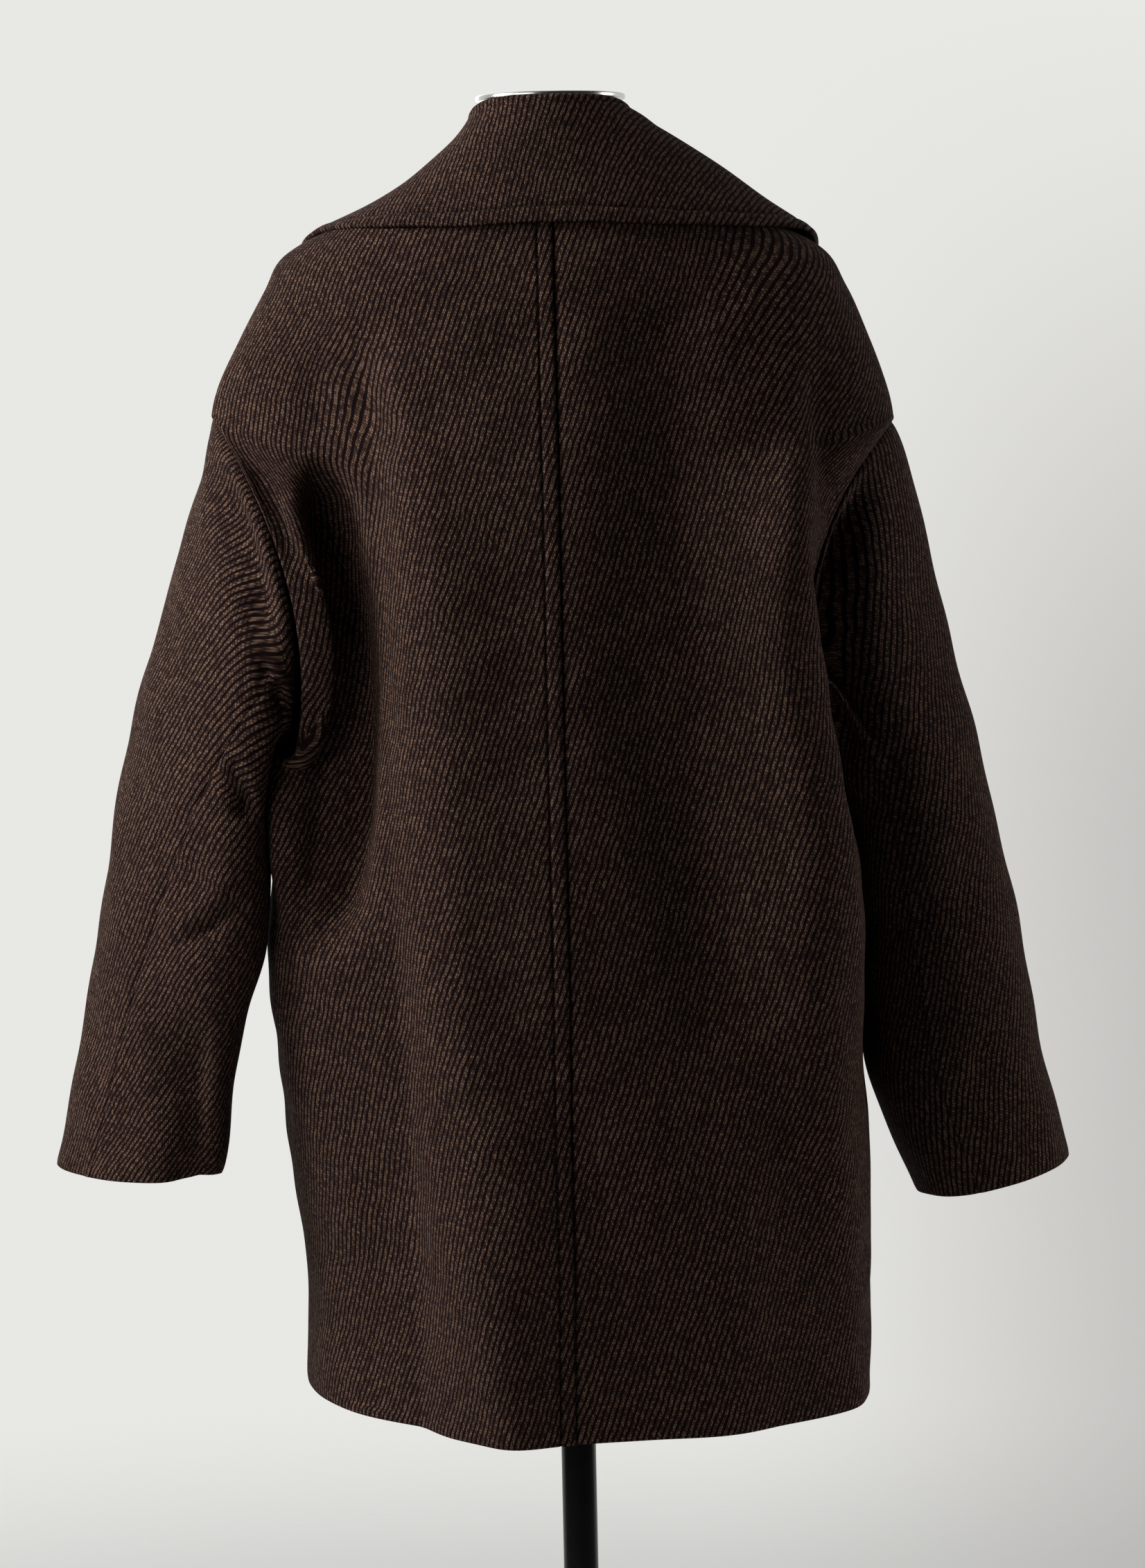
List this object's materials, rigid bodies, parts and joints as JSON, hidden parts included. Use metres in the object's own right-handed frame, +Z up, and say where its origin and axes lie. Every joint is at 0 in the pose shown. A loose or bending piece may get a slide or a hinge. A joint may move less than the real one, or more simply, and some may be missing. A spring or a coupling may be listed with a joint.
{
  "type": "long coat on dress form stand",
  "caption": "Oversize drop-shoulder wool coat with a wide turn-down collar, hanging on a limbless dress form with a pole and a round base.",
  "frame": {"origin": "on the floor under the middle of the base, on the pole's axis", "axes": "+Z up along the pole, the coat's front looks along -Y and its back along +Y, the wearer's left is +X"},
  "size_m": [0.7371, 0.3291, 1.5021],
  "materials": {
    "coat_twill": "brown and black steep wool twill, soft nap",
    "dark_button": "dark horn-like, satin",
    "form_linen": "beige linen cover, plain weave",
    "cap_metal": "turned, satin",
    "stand_black": "black satin paint"
  },
  "bodies": {
    "root": {"back_left": "coat_twill", "back_right": "coat_twill", "front_left": "coat_twill", "front_right": "coat_twill", "sleeve_upper_left": "coat_twill", "sleeve_under_left": "coat_twill", "sleeve_upper_right": "coat_twill", "sleeve_under_right": "coat_twill", "collar": "coat_twill", "button_1": "dark_button", "button_2": "dark_button", "button_3": "dark_button", "form_torso": "form_linen", "neck_cap": "cap_metal", "pole": "stand_black", "base": "stand_black"}
  },
  "joints": []
}
